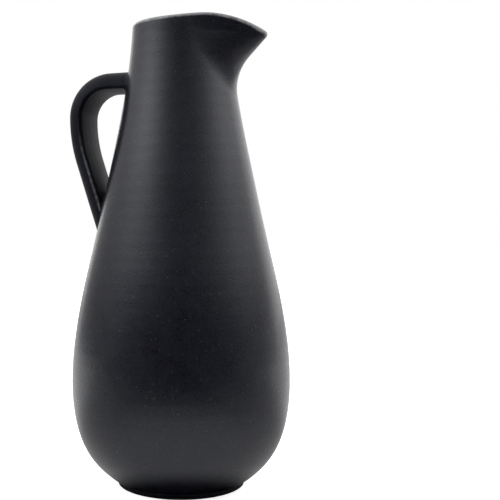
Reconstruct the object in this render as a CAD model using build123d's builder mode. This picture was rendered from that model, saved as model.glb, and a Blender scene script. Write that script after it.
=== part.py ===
from build123d import *
import math
import os

# A black stoneware oinochoe: a wine jug with a beaked mouth and one strap handle.
# It is made the way a potter makes it. The belly and the upper wall are thrown apart and joined at
# a bevel, a foot ring goes under the belly, the handle is pulled and set on, and every joint is
# luted with a thin layer of slip.
# Millimetres, +Z up. The origin is the middle of the foot's underside, the beak points along +X
# and the handle stands at -X.

os.makedirs("parts", exist_ok=True)

# The whole jug: its height to the rim's peak, and the radius and height of its widest place
jug_height = 300.0
belly_radius = 70.6
belly_height = 65.4

# Thickness of the clay: the thrown wall, its rim and its floor
wall = 5.0
rim_wall = 4.2
floor_thickness = 7.0

# Thickness of the slip in a joint, how far it is squeezed out around the handle, and the hairline
# between it and the handle's curved ends
slip_thickness = 0.6
slip_bead = 1.0
slip_clearance = 0.1

# Foot ring, and how far the belly starts outside it
foot_radius = 41.0
foot_height = 3.0
foot_width = 8.0
foot_rounding = 1.0
foot_step = 0.8

# Outer line of the wall from the foot up to its widest place: shares of the way out and up
belly_shares = [
    (0.221, 0.078),
    (0.534, 0.223),
    (0.780, 0.417),
    (0.938, 0.673),
    (1.000, 1.000),
]

# The same line above: shares of belly_radius, and of the way from the widest place to jug_height
neck_shares = [
    (0.979, 0.1125),
    (0.891, 0.2673),
    (0.774, 0.4207),
    (0.659, 0.5818),
    (0.544, 0.7532),
    (0.466, 0.9194),
    (0.444, 1.0384),
]

# Bevelled joint between the belly and the upper wall: its place along the outer line, and its angle
seam_share = 0.42
seam_bevel = 45.0

# Beak: where it leaves the neck along the outer line, its bend, the lean of its straight keel from
# the upright, and how round its front is at the start and at the tip, in degrees about the axis
beak_start_share = 0.812
beak_bend = 30.0
beak_lean = 44.5
beak_roundness = 30.0
tip_roundness = 4.0

# Rim seen from the side: it lies level at the back, rises to its peak and droops to the beak's tip.
# Shares of the tip's distance from the axis, and of the tip's drop below the peak
rim_tip_drop = 11.0
rim_rounding_share = 0.42
rim_shares = [
    (-0.90, 0.220),
    (-0.50, 0.215),
    (-0.10, 0.205),
    (0.14, 0.130),
    (0.40, 0.000),
    (0.70, 0.245),
    (0.84, 0.525),
    (1.00, 1.000),
    (1.25, 1.750),
]

# Strap handle, by its outer face: how far its top lies below the rim's peak, its reach from the
# axis, the radii of its two bends, and the lean of its lower run
handle_drop = 31.4
handle_reach = 76.9
handle_bend = 29.6
handle_sway = 100.0
handle_lean = 18.3

# Across the handle: its width, its thickness at the ridges, how far its inner face swells between
# them, how far they stand in from the sides, and how they are rounded
handle_width = 31.0
handle_thickness = 12.2
handle_bulge = 1.4
handle_ridge = 3.0
ridge_rounding = 0.9

# Points of the drawn lines: level sections of the neck and of the beak, points of each section and
# how they crowd at the beak, and points of the belly's inner line
neck_sections = 8
beak_sections = 8
section_points = 36
section_crowding = 0.82
inner_points = 6

# How far every cut and every drawn wall runs past where it is cut
overrun = 12.0


# The outer line, radius across and height up
foot_edge = foot_radius + foot_step
with BuildLine() as outer_line:
    Spline(
        (foot_edge, foot_height),
        *[
            (foot_edge + out * (belly_radius - foot_edge), foot_height + up * (belly_height - foot_height))
            for out, up in belly_shares
        ],
        *[(out * belly_radius, belly_height + up * (jug_height - belly_height)) for out, up in neck_shares],
    )


def wall_point(share, depth):
    """A point of the wall at a share of the outer line, this deep under the outer face."""
    place = outer_line.line @ share
    along = outer_line.line % share
    return place.X - depth * along.Y, place.Y + depth * along.X


def thickness_at(share):
    """The wall thins from the seam to the rim."""
    climb = max(0, share - seam_share) / (1 - seam_share)
    return wall + (rim_wall - wall) * climb


# The keel of the beak bends out of the neck about this centre, then runs straight
keel_start = outer_line.line @ beak_start_share
keel_along = outer_line.line % beak_start_share
keel_slope = math.tan(math.radians(beak_lean))
keel_centre_out = keel_start.X + beak_bend * keel_along.Y
keel_centre_up = keel_start.Y - beak_bend * keel_along.X
keel_straight_out = keel_centre_out - beak_bend * math.cos(math.radians(beak_lean))
keel_straight_up = keel_centre_up + beak_bend * math.sin(math.radians(beak_lean))


def keel_reach(height, radius):
    """Distance of the beak's keel from the axis, or the plain radius below the beak."""
    if height <= keel_start.Y:
        return radius
    if height < keel_straight_up:
        return keel_centre_out - math.sqrt(beak_bend**2 - (height - keel_centre_up) ** 2)
    return keel_straight_out + (height - keel_straight_up) * keel_slope


# The tip of the beak, where the keel meets the rim
tip_height = jug_height - rim_tip_drop
tip_reach = keel_reach(tip_height, 0)


def beaked_points(radius, reach, climb):
    """A level section: a circle whose front is drawn out to a beak with straight, tangent sides."""
    spread = math.acos(radius / reach)
    roundness = math.radians(beak_roundness + (tip_roundness - beak_roundness) * climb)
    points = []
    for step in range(section_points):
        turn = math.pi + 2 * math.pi * step / section_points
        turn -= section_crowding * math.sin(turn)
        from_keel = math.remainder(turn, 2 * math.pi)
        lift = max(0, spread + roundness - math.hypot(from_keel, roundness))
        distance = radius / math.cos(lift)
        points.append((distance * math.cos(turn), distance * math.sin(turn)))
    return points


def upper_sections(depth_share, growth):
    """Height and points of each level section of the upper wall, from below its seam to above its rim.
    They lie at a share of the wall's thickness, and stand this much further out."""
    first_share = seam_share - overrun / outer_line.edge().length
    neck_step = (beak_start_share - first_share) / neck_sections
    beak_step = (1 - beak_start_share) / beak_sections
    shares = [first_share + neck_step * step for step in range(neck_sections)]
    shares += [beak_start_share + beak_step * step for step in range(beak_sections + 1)]
    sections = []
    for share in shares:
        radius, height = wall_point(share, depth_share * thickness_at(share) - growth)
        outer_radius = wall_point(share, 0)[0]
        reach = max(radius, keel_reach(height, outer_radius) * radius / outer_radius)
        climb = (height - keel_start.Y) / (tip_height - keel_start.Y)
        sections.append((height, beaked_points(radius, reach, min(1, max(0, climb)))))
    return sections


def loft_upper(depth_share, growth):
    """The body that fills the upper wall's face at a share of its thickness, and this much more."""
    with BuildPart() as body:
        for height, points in upper_sections(depth_share, growth):
            with BuildSketch(Plane.XY.offset(height)):
                with BuildLine():
                    Spline(*points, periodic=True)
                make_face()
        loft()
    return body.part


# The upper wall's outer body, its hollow, its outer body under one layer of slip, and the body that
# the handle's ends are shaped to
upper_outside = loft_upper(0, 0)
upper_hollow = loft_upper(1, 0)
upper_slipped = loft_upper(0, slip_thickness)
handle_seat = loft_upper(0, slip_thickness + slip_clearance)

# The seam is a cone through the outer line that rises towards the axis
seam_radius, seam_height = wall_point(seam_share, 0)
seam_slope = math.tan(math.radians(seam_bevel))
above_all = jug_height + seam_radius * seam_slope
below_all = -overrun


def seam_cone(lift, level):
    """Half outline of the space between the seam, lifted this much, and a level above or below it."""
    with BuildSketch(Plane.XZ) as cone:
        Polygon(
            (0, level),
            (0, seam_height + lift + seam_radius * seam_slope),
            (seam_radius + overrun, seam_height + lift - overrun * seam_slope),
            (seam_radius + overrun, level),
            align=None,
        )
    return cone.sketch


# Half outline of the thrown belly, from its floor to past the seam
floor_top = foot_height + floor_thickness
throw_share = seam_share + overrun / outer_line.edge().length
inner_shares = [seam_share * (step + 2) / (inner_points + 2) for step in range(inner_points)]
with BuildSketch(Plane.XZ) as thrown_wall:
    with BuildLine():
        add(outer_line.edge().trim(0, throw_share))
        inner_line = Spline(
            (foot_radius - floor_thickness, floor_top),
            *[wall_point(share, wall) for share in inner_shares],
            wall_point(throw_share, wall),
        )
        Line(wall_point(throw_share, 0), inner_line @ 1)
        Polyline(inner_line @ 0, (0, floor_top), (0, foot_height), (foot_edge, foot_height))
    make_face()

# Belly: the thrown bowl with its floor, bevelled at the seam
with BuildPart() as belly:
    add(thrown_wall.sketch)
    revolve(axis=Axis.Z)
    add(seam_cone(0, above_all))
    revolve(axis=Axis.Z, mode=Mode.SUBTRACT)

# Shoulder slip: the layer in the bevelled seam
with BuildPart() as shoulder_slip:
    add(thrown_wall.sketch)
    revolve(axis=Axis.Z)
    add(seam_cone(slip_thickness, above_all))
    revolve(axis=Axis.Z, mode=Mode.SUBTRACT)
    add(seam_cone(0, below_all))
    revolve(axis=Axis.Z, mode=Mode.SUBTRACT)

# Upper wall: shoulder, neck and beaked mouth in one thrown piece, cut at the rim and rounded there
far_out = tip_reach + belly_radius
with BuildPart() as upper_wall:
    add(upper_outside)
    add(upper_hollow, mode=Mode.SUBTRACT)
    add(seam_cone(slip_thickness, below_all))
    revolve(axis=Axis.Z, mode=Mode.SUBTRACT)
    with BuildSketch(Plane.XZ):
        with BuildLine():
            rim_line = Spline(
                *[(out * tip_reach, jug_height - drop * rim_tip_drop) for out, drop in rim_shares]
            )
            Polyline(
                rim_line @ 1,
                (far_out, (rim_line @ 1).Y),
                (far_out, above_all),
                (-far_out, above_all),
                (-far_out, (rim_line @ 0).Y),
                rim_line @ 0,
            )
        make_face()
    extrude(amount=belly_radius, both=True, mode=Mode.SUBTRACT)
    rim_faces = upper_wall.faces().filter_by(GeomType.EXTRUSION)
    rim_edges = rim_faces.edges().filter_by(lambda edge: abs(edge.center().Y) > rim_wall)
    fillet(rim_edges, radius=rim_wall * rim_rounding_share)

# Foot ring, with its recess inside, and the slip between it and the belly
ring_top = foot_height - slip_thickness
with BuildPart() as foot_ring:
    with BuildSketch():
        Circle(foot_radius)
        Circle(foot_radius - foot_width, mode=Mode.SUBTRACT)
    extrude(amount=ring_top)
    fillet(foot_ring.edges().group_by(Axis.Z)[0], radius=foot_rounding)

with BuildPart() as foot_slip:
    with BuildSketch(Plane.XY.offset(ring_top)):
        Circle(foot_radius)
        Circle(foot_radius - foot_width, mode=Mode.SUBTRACT)
    extrude(amount=slip_thickness)

# The handle's middle line: level out of the neck, round the bend, a long sway, then straight down
# into the shoulder as far as the seam. The outer face lies half the thickness outside it.
half_thick = handle_thickness / 2
middle_top = jug_height - handle_drop - half_thick
with BuildLine(Plane.XZ) as handle_line:
    out_of_neck = Line(
        (-wall_point(1, wall)[0], middle_top),
        (handle_bend - handle_reach, middle_top),
    )
    bend = JernArc(out_of_neck @ 1, out_of_neck % 1, radius=handle_bend - half_thick, arc_size=90)
    sway = JernArc(bend @ 1, bend % 1, radius=handle_sway - half_thick, arc_size=handle_lean)
    run_length = ((sway @ 1).Z - seam_height) / math.cos(math.radians(handle_lean))
    Line(sway @ 1, sway @ 1 + (sway % 1) * run_length)


def handle_section(growth):
    """Across the handle: a rounded back, and an inner face that swells gently between two ridges.
    It is widest halfway between its middle and its ridges."""
    across = handle_width / 2 + growth
    ridge = across - handle_ridge
    up = half_thick + growth
    widest = -up / 2
    start = handle_line.line @ 0
    with BuildSketch(Plane(origin=start, x_dir=(0, -1, 0), z_dir=handle_line.line % 0)) as section:
        with BuildLine():
            back = Spline(
                (ridge, -up),
                (across, widest),
                (0, up),
                (-across, widest),
                (-ridge, -up),
            )
            ThreePointArc(back @ 1, (0, -handle_bulge - up), back @ 0)
        make_face()
        fillet(section.vertices(), radius=ridge_rounding)
    return section.sketch


def sweep_handle(growth):
    """The handle, running on into the wall at both ends, and this much thicker all round."""
    with BuildPart() as body:
        add(handle_section(growth))
        sweep(path=handle_line.wires()[0])
    return body.part


# Handle: its ends are shaped to the wall, one layer of slip away from it
with BuildPart() as handle:
    add(sweep_handle(0))
    add(handle_seat, mode=Mode.SUBTRACT)

# The slip under both ends of the handle, squeezed out all round into a small bead
with BuildPart() as handle_slips:
    add(sweep_handle(slip_bead))
    add(upper_slipped, mode=Mode.INTERSECT)
    add(upper_outside, mode=Mode.SUBTRACT)

with BuildPart() as lower_handle_slip:
    add(handle_slips.solids().sort_by(Axis.Z)[0])

with BuildPart() as upper_handle_slip:
    add(handle_slips.solids().sort_by(Axis.Z)[-1])

for name, piece in [
    ("belly", belly),
    ("shoulder_slip", shoulder_slip),
    ("upper_wall", upper_wall),
    ("foot_ring", foot_ring),
    ("foot_slip", foot_slip),
    ("handle", handle),
    ("upper_handle_slip", upper_handle_slip),
    ("lower_handle_slip", lower_handle_slip),
]:
    piece.part.label = name
    export_step(piece.part, f"parts/{name}.step")
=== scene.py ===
# %% [markdown]
# # A black stoneware oinochoe
# This lesson dresses a wine jug. Its clay already exists as plain solids, at their real size, and the
# lesson loads them first. Then it models the skin of every piece as a fine mesh with the marks that a
# potter's hands leave, gives it a satin black finish, and sets it on a white table between two lamps.
# Everything is in metres, with the jug's axis upright and its beak along +X.

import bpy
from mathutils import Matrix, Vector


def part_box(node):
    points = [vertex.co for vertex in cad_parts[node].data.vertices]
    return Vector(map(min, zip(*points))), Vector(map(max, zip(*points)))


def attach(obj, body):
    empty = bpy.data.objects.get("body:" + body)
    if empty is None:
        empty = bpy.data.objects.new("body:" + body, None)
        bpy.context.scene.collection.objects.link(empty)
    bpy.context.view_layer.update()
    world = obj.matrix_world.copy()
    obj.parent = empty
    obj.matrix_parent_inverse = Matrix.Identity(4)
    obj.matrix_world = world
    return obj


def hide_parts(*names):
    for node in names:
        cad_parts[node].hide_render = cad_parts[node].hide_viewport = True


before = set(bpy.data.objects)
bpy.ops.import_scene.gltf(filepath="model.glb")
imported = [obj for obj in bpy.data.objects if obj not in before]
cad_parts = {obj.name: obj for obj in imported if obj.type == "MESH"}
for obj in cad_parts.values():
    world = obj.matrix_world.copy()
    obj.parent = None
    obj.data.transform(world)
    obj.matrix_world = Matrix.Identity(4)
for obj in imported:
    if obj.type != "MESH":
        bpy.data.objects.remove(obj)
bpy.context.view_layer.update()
print("plain pieces:", ", ".join(sorted(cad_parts)))

# %% [markdown]
# ## The camera comes first
# The camera stands level, a little above the middle of the jug, and 17.5 degrees round from its
# side. A long lens keeps the belly from swelling. The picture is square, and the jug stands left of
# its middle, so the lens is shifted instead of turned: a shifted lens keeps upright lines upright.

# %% Camera
import math

import bmesh
import bpy
import numpy as np
from mathutils import Vector

picture_side = 500
focal_pixels = 900
sensor_width = 36.0
camera_turn = math.radians(17.5)
camera_distance = 0.5883
camera_height = 0.169
axis_column = 181.2
horizon_row = 222.5


def put_in_scene(name, data):
    """A new object with this data, linked into the scene."""
    thing = bpy.data.objects.new(name, data)
    bpy.context.scene.collection.objects.link(thing)
    return thing


camera_data = bpy.data.cameras.new("jug_camera")
camera_data.sensor_width = sensor_width
camera_data.lens = sensor_width * focal_pixels / picture_side
camera_data.shift_x = 0.5 - axis_column / picture_side
camera_data.shift_y = horizon_row / picture_side - 0.5
camera = put_in_scene("jug_camera", camera_data)
camera_x, camera_y = camera_distance * math.sin(camera_turn), -camera_distance * math.cos(camera_turn)
camera.location = (camera_x, camera_y, camera_height)
camera.rotation_euler = (math.radians(90), 0, camera_turn)
bpy.context.scene.camera = camera
shift = np.round([camera_data.shift_x, camera_data.shift_y], 3)
print("lens", round(camera_data.lens, 1), "mm, shift", shift)

# %% [markdown]
# ## A smooth line through a few points
# A thrown wall has one smooth profile. It could be drawn as a Bezier curve with handles, but a cubic
# spline needs only the points that it passes through, and its curvature never jumps, so no band shows
# in the gloss. The helper finds the slope at each point, then samples the line in even steps.

# %% Smooth line
def even_points(line, samples, closed=False):
    """Evenly spaced points along a line; a closed one doesn't repeat its first point at its end."""
    lengths = np.concatenate(([0], np.cumsum(np.linalg.norm(np.diff(line, axis=0), axis=1))))
    even = np.linspace(0, lengths[-1], samples, endpoint=not closed)
    return np.stack([np.interp(even, lengths, axis) for axis in line.T], axis=1)


def smooth_line(points, samples):
    """Even samples of a cubic spline through the points."""
    points = np.array(points, float)
    steps = np.linalg.norm(np.diff(points, axis=0), axis=1)
    knots = np.concatenate(([0], np.cumsum(steps)))
    count = len(points)
    matrix = np.eye(count)
    sides = np.zeros_like(points)
    for end, near in ((0, slice(0, 4)), (count - 1, slice(count - 4, count))):
        cubic = np.polyfit(knots[near] - knots[end], points[near], 3)
        sides[end] = cubic[2]
    for i in range(1, count - 1):
        before, after = steps[i - 1], steps[i]
        matrix[i, i - 1:i + 2] = after, 2 * (before + after), before
        rise_before = (points[i] - points[i - 1]) / before
        rise_after = (points[i + 1] - points[i]) / after
        sides[i] = 3 * (after * rise_before + before * rise_after)
    slopes = np.linalg.solve(matrix, sides)
    fine = np.linspace(0, knots[-1], 4 * samples)
    part = np.clip(np.searchsorted(knots, fine, side="right") - 1, 0, count - 2)
    width = steps[part][:, None]
    t = (fine - knots[part])[:, None] / width
    curve = (
        (1 + 2 * t) * (1 - t) ** 2 * points[part]
        + t * (1 - t) ** 2 * width * slopes[part]
        + t ** 2 * (3 - 2 * t) * points[part + 1]
        + t ** 2 * (t - 1) * width * slopes[part + 1]
    )
    return even_points(curve, samples)


# %% [markdown]
# ## The profile of the wall
# The profile starts at the foot, swells to the belly and closes in to the neck. Its points are shares
# of the jug's height and of the belly's radius, so that they follow when a size changes. The inner
# face lies one wall's thickness inside it, and the wall thins towards the rim, as thrown walls do.

# %% Outer and inner line
jug_height = 0.300
belly_radius = 0.0706
belly_height = 0.0654
wall = 0.0050
rim_wall = 0.0042
floor_thickness = 0.0070
foot_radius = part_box("foot_ring")[1].x
foot_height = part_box("foot_slip")[1].z
foot_width = 0.0080
recess_radius = foot_radius - foot_width
foot_step = 0.0008
foot_edge = foot_radius + foot_step
seam_share = 0.42
line_samples = 2001
belly_shares = [(0.221, 0.078), (0.534, 0.223), (0.780, 0.417), (0.938, 0.673), (1.000, 1.000)]
neck_shares = [
    (0.979, 0.1125), (0.891, 0.2673), (0.774, 0.4207), (0.659, 0.5818),
    (0.544, 0.7532), (0.466, 0.9194), (0.444, 1.0384),
]


def ramp(distance, length):
    """From 0 to 1 over this length, and level before and after it."""
    return np.clip(distance / length, 0, 1)


def unit(vectors):
    """The same directions at unit length."""
    return vectors / np.linalg.norm(vectors, axis=-1)[..., None]


profile_points = [(foot_edge, foot_height)]
for out, up in belly_shares:
    radius = foot_edge + out * (belly_radius - foot_edge)
    profile_points.append((radius, foot_height + up * (belly_height - foot_height)))
for out, up in neck_shares:
    profile_points.append((out * belly_radius, belly_height + up * (jug_height - belly_height)))

outer_line = smooth_line(profile_points, line_samples)
shares = np.linspace(0, 1, line_samples)
along = unit(np.gradient(outer_line, axis=0))
into_clay = np.stack((-along[:, 1], along[:, 0]), axis=1)
thinning = ramp(shares - seam_share, 1 - seam_share)
thickness = wall + (rim_wall - wall) * thinning
line_length = np.linalg.norm(np.diff(outer_line, axis=0), axis=1).sum()
print("widest radius", round(outer_line[:, 0].max(), 5), "line length", round(line_length, 4))

# %% [markdown]
# ## The beak
# The mouth was drawn out while the clay was soft, so its keel bends out of the neck and then runs
# straight. Seen from above, each level section is a circle whose front is drawn to a point with two
# straight sides that touch the circle. One formula gives the distance from the axis at any height
# and any turn, for the outer face and for the inner one.

# %% Distance of a wall face from the axis
beak_start_share = 0.812
beak_bend = 0.030
beak_lean = math.radians(44.5)
beak_roundness = math.radians(30.0)
tip_roundness = math.radians(4.0)
rim_tip_drop = 0.011
start = round(beak_start_share * (line_samples - 1))
keel_start = outer_line[start]
keel_centre = keel_start - beak_bend * into_clay[start]
keel_bend_out = keel_centre[0] - beak_bend * math.cos(beak_lean)
keel_bend_up = keel_centre[1] + beak_bend * math.sin(beak_lean)
tip_height = jug_height - rim_tip_drop
tip_reach = keel_bend_out + (tip_height - keel_bend_up) * math.tan(beak_lean)


def keel_reach(height, radius):
    """Distance of the beak's keel from the axis, or the plain radius below the beak."""
    bent = keel_centre[0] - np.sqrt(np.clip(beak_bend ** 2 - (height - keel_centre[1]) ** 2, 0, None))
    straight = keel_bend_out + (height - keel_bend_up) * math.tan(beak_lean)
    reach = np.where(height < keel_bend_up, bent, straight)
    return np.where(height <= keel_start[1], radius, reach)


def wall_face(depth_share):
    """Height, radius and keel reach along a face at this share of the wall's thickness."""
    radius, height = (outer_line + into_clay * (thickness * depth_share)[:, None]).T
    reach = keel_reach(height, outer_line[:, 0]) * radius / outer_line[:, 0]
    return height, radius, np.maximum(radius, reach)


def face_distance(face, turn, height):
    """Distance from the axis to a wall face, at this turn and height."""
    radius = np.interp(height, face[0], face[1])
    reach = np.maximum(radius, np.interp(height, face[0], face[2]))
    climb = ramp(height - keel_start[1], tip_height - keel_start[1])
    spread = np.arccos(radius / reach)
    roundness = beak_roundness + (tip_roundness - beak_roundness) * climb
    from_keel = (turn + math.pi) % math.tau - math.pi
    lift = np.maximum(0, spread + roundness - np.hypot(from_keel, roundness))
    return radius / np.cos(lift)


outer_face = wall_face(0)
inner_face = wall_face(1)
print("beak reaches", round(tip_reach, 4), "at height", round(tip_height, 4))

# %% [markdown]
# ## The marks of the wheel
# Fingers climb the wall while the wheel turns, so they leave a shallow spiral. Outside it was nearly
# smoothed away with a rib. Inside it stays. The marks only ever cut into the clay, so no piece grows.

# %% Throwing marks
outer_mark_depth = 0.00003
inner_mark_depth = 0.00040
mark_pitch = 0.0085


def wheel_marks(turn, height, depth):
    """How deep the spiral finger marks cut at this turn and height."""
    turns_up = math.tau * height / mark_pitch
    broad = np.sin(turns_up - turn)
    uneven = np.sin(0.43 * turns_up + 2 * turn + 1.1)
    fine = np.sin(2.7 * turns_up - 3 * turn + 0.4)
    return depth * (0.5 + 0.28 * broad + 0.14 * uneven + 0.08 * fine)


# %% [markdown]
# ## Meshes from rings
# Every skin here is a stack of rings: rows of points that run round the piece, each joined to the
# next by four-sided faces. Rings that shrink to one point close an end, and the last ring may join
# the first. Each point also carries a number for wear and painted highlight: 0 in the open, about 1
# on an edge that hands and tables rub, and more on the thin coat of the lip. On the lip and the
# handle's ridges the pale wear is also a painted highlight. The finish reads it later.

# %% Ring mesh
columns = 288
turns = np.linspace(0, math.tau, columns, endpoint=False)
crease_angle = math.radians(25)
weld_distance = 0.000001


def ring_piece(name, rings, wear_and_highlight, nodes, joined):
    """A closed skin through rings of points that stands for these plain nodes."""
    rows, around = rings.shape[:2]
    index = np.arange(rows * around).reshape(rows, around)
    if joined:
        index = np.concatenate((index, index[:1]))
    beside = np.roll(index, -1, axis=1)
    faces = np.stack((index[:-1], beside[:-1], beside[1:], index[1:]), axis=-1)
    mesh = bpy.data.meshes.new(name)
    mesh.from_pydata(rings.reshape(-1, 3).tolist(), [], faces.reshape(-1, 4).tolist())
    layer = mesh.attributes.new("wear_and_highlight", "FLOAT", "POINT")
    layer.data.foreach_set("value", np.broadcast_to(wear_and_highlight, (rows, around)).astype(np.float32).ravel())
    grid = bmesh.new()
    grid.from_mesh(mesh)
    bmesh.ops.remove_doubles(grid, verts=grid.verts, dist=weld_distance)
    bmesh.ops.recalc_face_normals(grid, faces=grid.faces)
    open_edges = sum(len(edge.link_faces) != 2 for edge in grid.edges)
    volume = grid.calc_volume(signed=True)
    grid.to_mesh(mesh)
    grid.free()
    mesh.shade_smooth()
    mesh.set_sharp_from_angle(angle=crease_angle)
    piece = put_in_scene(name, mesh)
    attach(piece, "root")
    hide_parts(*nodes)
    millilitres = round(volume * 1e6, 1)
    print(name, "has", len(mesh.polygons), "faces,", open_edges, "open edges,", millilitres, "ml of clay")
    return piece


def upright_rings(distance, height):
    """Rings of points at these distances from the axis and heights."""
    distance, height, turn = np.broadcast_arrays(distance, height, turns)
    return np.stack((distance * np.cos(turn), distance * np.sin(turn), height), axis=-1)


# %% [markdown]
# ## Where the belly meets the upper wall
# The two thrown sections meet in a bevel that rises towards the axis, filled with a thin layer of
# slip. It is smoothed over outside and can't be seen, so the three skins share one line there. The
# bevel's place is found where the inner line crosses it.

# %% Seam
slip_thickness = 0.0006
inner_points = 6
inner_samples = 801
above_seam = 60
near_seam = 200
seam = round(seam_share * (line_samples - 1))
seam_radius, seam_height = outer_line[seam]
bevel_slope = math.tan(math.radians(45.0))
floor_top = foot_height + floor_thickness
inner_shares = [seam_share * (step + 2) / (inner_points + 2) for step in range(inner_points)]
inner_rows = [round(share * (line_samples - 1)) for share in inner_shares] + [seam + above_seam]
deep_line = outer_line + into_clay * wall
inner_places = [(foot_radius - floor_thickness, floor_top)] + [tuple(deep_line[row]) for row in inner_rows]
belly_inner_line = smooth_line(inner_places, inner_samples)


def seam_crossing(radius, height, lift):
    """Radius and height where a line through these points crosses the bevel, lifted this much."""
    beyond = height - (seam_height + lift + (seam_radius - radius) * bevel_slope)
    order = np.argsort(beyond)
    return np.interp(0, beyond[order], radius[order]), np.interp(0, beyond[order], height[order])


outer_stretch = outer_line[seam - near_seam:seam + near_seam].T
inner_stretch = belly_inner_line[inner_samples // 2:].T
outer_seam, inner_seam = seam_crossing(*outer_stretch, 0), seam_crossing(*inner_stretch, 0)
outer_slip = seam_crossing(*outer_stretch, slip_thickness)
inner_slip = seam_crossing(*inner_stretch, slip_thickness)
print("seam: outside", np.round(outer_seam, 4), "inside", np.round(inner_seam, 4))

# %% [markdown]
# ## Belly, outside
# The belly is a bowl. Its underside has the rings of the turning tool and a soft edge, and its outer
# wall runs up to the bevel at the seam. Rows are dense where the light will travel over them.

# %% Underside, outer wall and bevel
under_rows = 44
edge_rows = 5
outer_rows = 190
bevel_rows = 6
turning_pitch = 0.0031
turning_depth = 0.00014
turning_drift = 0.8
drift_length = 0.004
recess_fade = 0.002
foot_fade = 0.006
edge_round = 0.0004


def span(low, high, rows):
    """Rows from low to high, without the last one."""
    return np.linspace(low, high, rows, endpoint=False)[:, None]


def wall_radius(height):
    """The outer radius of the wall, without the beak."""
    return np.interp(height, outer_line[:, 1], outer_line[:, 0])


under_radius = span(0, foot_edge - foot_step, under_rows)
inside_recess = ramp(recess_radius - under_radius, recess_fade)
tool_turns = math.tau * under_radius / turning_pitch + turning_drift * np.sin(under_radius / drift_length)
tool_rings = 0.5 + 0.5 * np.sin(tool_turns)
underside = upright_rings(under_radius, foot_height + turning_depth * inside_recess * tool_rings)
edge_turn = span(-math.pi / 2, 0, edge_rows)
under_edge = upright_rings(
    foot_edge - edge_round * (1 - np.cos(edge_turn)),
    foot_height + edge_round * (1 + np.sin(edge_turn)),
)
outer_height = span(foot_height + edge_round, outer_seam[1], outer_rows)
outer_marks = wheel_marks(turns, outer_height, outer_mark_depth) * ramp(outer_height - foot_height, foot_fade)
outer_wall = upright_rings(wall_radius(outer_height) - outer_marks, outer_height)
bevel = span(0, 1, bevel_rows)
seam_marks = wheel_marks(turns, outer_seam[1], outer_mark_depth)
bevel_wall = upright_rings(
    outer_seam[0] - seam_marks + (inner_seam[0] - outer_seam[0] + seam_marks) * bevel,
    outer_seam[1] + (inner_seam[1] - outer_seam[1]) * bevel,
)
print("the outside has", under_rows + edge_rows + outer_rows + bevel_rows, "rings")

# %% [markdown]
# ## Belly, inside
# Inside, the finger marks are deep. They fade out at the seam and at the floor, where a spiral of its
# own starts round a low button, the place that the potter opened first.

# %% Inner wall, floor and belly skin
inner_wall_rows = 110
floor_rows = 40
floor_mark_depth = 0.00045
button_radius = 0.006
seam_fade = 0.004
floor_fade = 0.006
heel_share = 0.05
edge_wear = 0.5
inner_length = np.linspace(0, 1, inner_samples)
inner_end = np.interp(inner_seam[1], belly_inner_line[:, 1], inner_length)
inner_place = span(inner_end, 0, inner_wall_rows)
inner_radius = np.interp(inner_place, inner_length, belly_inner_line[:, 0])
inner_height = np.interp(inner_place, inner_length, belly_inner_line[:, 1])
inner_fade = ramp(inner_seam[1] - inner_height, seam_fade) * ramp(inner_place, heel_share)
inner_marks = wheel_marks(turns, inner_height, inner_mark_depth) * inner_fade
inner_wall = upright_rings(inner_radius + inner_marks, inner_height)
floor_radius = np.linspace(belly_inner_line[0, 0], 0, floor_rows)[:, None]
floor_spiral = 0.5 + 0.5 * np.sin(math.tau * floor_radius / mark_pitch - turns)
floor_button = np.exp(-(floor_radius / button_radius) ** 2)
floor_relief = floor_spiral * ramp(floor_radius, button_radius) * (1 - floor_button) + floor_button
floor_depth = floor_mark_depth * ramp(belly_inner_line[0, 0] - floor_radius, floor_fade)
floor_wall = upright_rings(floor_radius, floor_top + floor_depth * floor_relief)
belly_rings = np.concatenate((underside, under_edge, outer_wall, bevel_wall, inner_wall, floor_wall))
belly_wear = np.zeros((len(belly_rings), 1))
belly_wear[under_rows:under_rows + edge_rows] = edge_wear
belly_skin = ring_piece("belly_skin", belly_rings, belly_wear, ["belly"], joined=False)

# %% [markdown]
# ## The slip in the seam
# This layer is 0.6 mm thick and runs round between the bevels. It is a closed ring of its own, so
# that the two thrown sections stay two pieces.

# %% Shoulder slip
slip_marks = wheel_marks(turns, outer_slip[1], outer_mark_depth)
slip_corners = np.stack((
    upright_rings(outer_seam[0] - seam_marks, outer_seam[1]),
    upright_rings(outer_slip[0] - slip_marks, outer_slip[1]),
    upright_rings(*inner_slip),
    upright_rings(*inner_seam),
))
ring_piece("shoulder_slip_ring", slip_corners, 0, ["shoulder_slip"], joined=True)

# %% [markdown]
# ## The rim
# The rim is a line seen from the side: level at the back, up to a peak, then down to the tip. For
# each turn round the jug, the height where a face of the wall meets that line is found by stepping
# towards it.

# %% Rim height
rim_samples = 801
rim_steps = 40
rim_shares = [
    (-0.90, 0.220), (-0.50, 0.215), (-0.10, 0.205), (0.14, 0.130), (0.40, 0.000),
    (0.70, 0.245), (0.84, 0.525), (1.00, 1.000), (1.25, 1.750),
]
rim_places = [(out * tip_reach, jug_height - drop * rim_tip_drop) for out, drop in rim_shares]
rim_line = smooth_line(rim_places, rim_samples)


def rim_height(face):
    """Height where a face meets the rim line, for each turn."""
    height = np.full(columns, jug_height)
    for step in range(rim_steps):
        height = np.interp(face_distance(face, turns, height) * np.cos(turns), *rim_line.T)
    return height


outer_top, inner_top = rim_height(outer_face), rim_height(inner_face)
print("the rim is from", round(outer_top.min(), 4), "to", round(outer_top.max(), 4), "high")

# %% [markdown]
# ## Upper wall
# Shoulder, neck and beak are one skin. Between its two faces the lip is a rounded arch that leaves
# both of them without a crease. The coat ran thin there in the fire and was rubbed since, so the lip
# has the most wear of all; its pale line is partly that wear and partly a painted highlight along
# the rounded lip.

# %% Upper wall skin
lip_depth = 0.0025
lip_fullness = 2.0
lip_rows = 14
upper_rows = 210
outer_rim_fade = 0.006
inner_rim_fade = 0.012


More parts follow.
